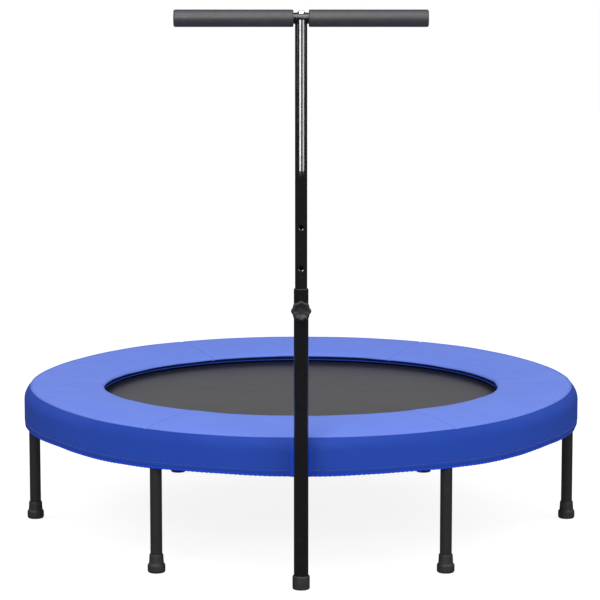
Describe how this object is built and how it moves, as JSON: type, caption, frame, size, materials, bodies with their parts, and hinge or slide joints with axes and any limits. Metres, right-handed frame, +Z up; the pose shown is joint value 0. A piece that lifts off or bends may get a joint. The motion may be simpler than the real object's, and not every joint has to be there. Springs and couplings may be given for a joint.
{
  "type": "mini trampoline",
  "caption": "Round padded mini trampoline on screw-in legs, with a height-adjustable T-bar handle on a front post.",
  "frame": {"origin": "on the floor, at the centre of the bounding box; the bed's axis lies 43.1 mm behind it", "axes": "+Z up, -Y to the front, where the handle post stands, +X to the right seen from the front"},
  "size_m": [1.22, 1.3061, 1.1453],
  "materials": {
    "black_paint": "glossy black powder coat",
    "bare_steel": "plain drawn steel",
    "zinc": "bright zinc plate",
    "foot_rubber": "moulded, matt",
    "black_plastic": "moulded, fine grain",
    "knob_plastic": "moulded, satin",
    "grip_foam": "dense closed-cell foam",
    "mat_fabric": "woven polypropylene, grey",
    "webbing": "black woven webbing",
    "pad_fabric": "light blue coated polyester",
    "skirt_fabric": "royal blue coated polyester",
    "pad_foam": "closed-cell polyethylene foam",
    "lining": "blue polyester lining"
  },
  "bodies": {
    "frame": {"ring_front": "black_paint", "ring_right": "black_paint", "ring_left": "black_paint", "leg_sockets": "black_paint", "ring_spigots": "bare_steel", "ring_bolts": "zinc", "ring_nuts": "zinc", "leg_studs": "zinc", "saddle_bolts": "zinc", "rivet_nuts": "zinc", "leg_1": "black_paint", "foot_1": "foot_rubber", "pad_cover_1": "pad_fabric", "skirt_1": "skirt_fabric", "leg_2": "black_paint", "foot_2": "foot_rubber", "pad_cover_2": "pad_fabric", "skirt_2": "skirt_fabric", "leg_3": "black_paint", "foot_3": "foot_rubber", "pad_cover_3": "pad_fabric", "skirt_3": "skirt_fabric", "leg_4": "black_paint", "foot_4": "foot_rubber", "pad_cover_4": "pad_fabric", "skirt_4": "skirt_fabric", "leg_5": "black_paint", "foot_5": "foot_rubber", "pad_cover_5": "pad_fabric", "skirt_5": "skirt_fabric", "leg_6": "black_paint", "foot_6": "foot_rubber", "pad_cover_6": "pad_fabric", "skirt_6": "skirt_fabric", "post": "black_paint", "knob_boss": "black_paint", "post_arm": "black_paint", "ring_saddle": "black_paint", "post_foot": "foot_rubber", "post_bush": "black_plastic", "pad_straps": "webbing", "pad_foam": "pad_foam", "pad_lining": "lining"},
    "bed": {"mat": "mat_fabric", "mat_hem": "webbing", "ring_tabs": "webbing", "v_rings": "zinc", "springs": "zinc"},
    "handle": {"handle_tube": "black_paint", "tube_plug": "black_plastic", "bar_saddle": "black_plastic", "crossbar": "black_paint", "bar_bolt": "zinc", "grip_left": "grip_foam", "grip_right": "grip_foam"},
    "screw_travel": {"knob_washer": "zinc"},
    "knob": {"lock_knob": "knob_plastic", "lock_stud": "zinc"}
  },
  "joints": [
    {"name": "handle_height", "type": "slide", "parent": "frame", "child": "handle", "axis": [0, 0, 1], "range_m": [-0.161, 0]},
    {"name": "knob_travel", "type": "slide", "parent": "frame", "child": "screw_travel", "axis": [0, -1, 0], "range_m": [0, 0.0063]},
    {"name": "knob_turn", "type": "hinge", "parent": "screw_travel", "child": "knob", "pos_m": [0, -0.6099, 0.564], "axis": [0, -1, 0], "range_deg": [0, 1800]},
    {"name": "bed_travel", "type": "slide", "parent": "frame", "child": "bed", "axis": [0, 0, 1], "range_m": [-0.06, 0], "stiffness_N_per_m": 12000, "springref_m": 0.002, "deforming": ["springs"]}
  ],
  "couplings": [
    {"joint": "knob_travel", "follows": "knob_turn", "m_per_rad": 0.00019894}
  ]
}
